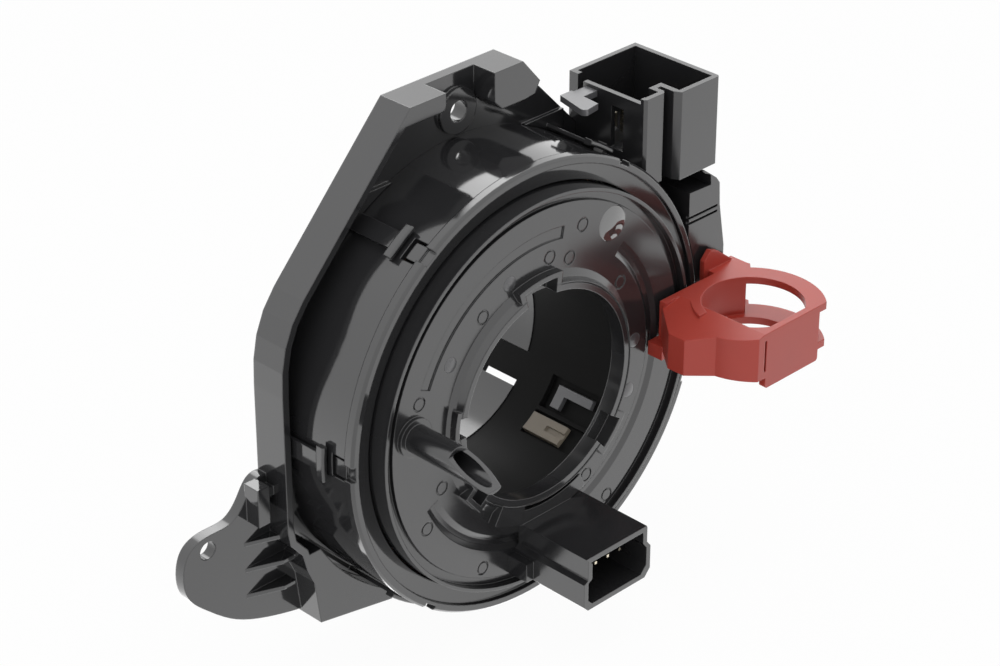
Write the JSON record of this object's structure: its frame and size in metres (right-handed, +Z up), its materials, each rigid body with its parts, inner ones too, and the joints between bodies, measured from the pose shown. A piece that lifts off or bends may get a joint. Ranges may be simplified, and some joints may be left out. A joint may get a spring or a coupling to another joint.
{
  "type": "steering clock spring",
  "caption": "Steering column clock spring: a drum on a tray bracket with an ear, a rotor with a plug and a peg, a socket, and a pull-out red transport lock.",
  "frame": {"origin": "on the drum's axis, at the bracket's rear mounting face", "axes": "+Y along the drum's axis towards the column, -Y towards the driver, +Z up, +X to the right as the driver sees it"},
  "size_m": [0.1384, 0.0615, 0.116],
  "materials": {
    "black": "moulded, glossy",
    "black_rotor": "moulded, satin gloss",
    "black_connector": "moulded, dull",
    "red": "moulded, slightly see-through",
    "beige": "moulded",
    "grey": "moulded",
    "terminal": "tin plated",
    "ribbon": "film laminate over flat copper",
    "film": "slippery sheet",
    "carrier": "moulded"
  },
  "bodies": {
    "stator": {"base_bracket": "black", "drum_housing": "black", "front_ring": "black", "flat_cable": "ribbon", "rear_slip_film": "film", "stator_cable_block": "carrier", "stator_contact_carrier": "carrier", "stator_connector": "black_connector", "stator_terminals": "terminal", "connector_lock_tab": "grey"},
    "rotor": {"rotor_disc": "black_rotor", "cable_hub": "black_rotor", "rear_collar": "black_rotor", "index_slider": "beige", "index_rail": "black_connector", "index_bracket": "grey", "front_slip_film": "film", "rotor_cable_block": "carrier", "rotor_contact_carrier": "carrier", "rotor_connector": "black_connector", "rotor_terminals": "terminal"},
    "lock": {"transport_lock": "red"}
  },
  "joints": [
    {"name": "rotor_spin", "type": "hinge", "parent": "stator", "child": "rotor", "pos_m": [0, 0, 0], "axis": [0, 1, 0], "range_deg": [-900, 900], "deforming": ["flat_cable"]},
    {"name": "lock_pull", "type": "slide", "parent": "rotor", "child": "lock", "axis": [0, -1, 0], "range_m": [0, 0.035]}
  ]
}
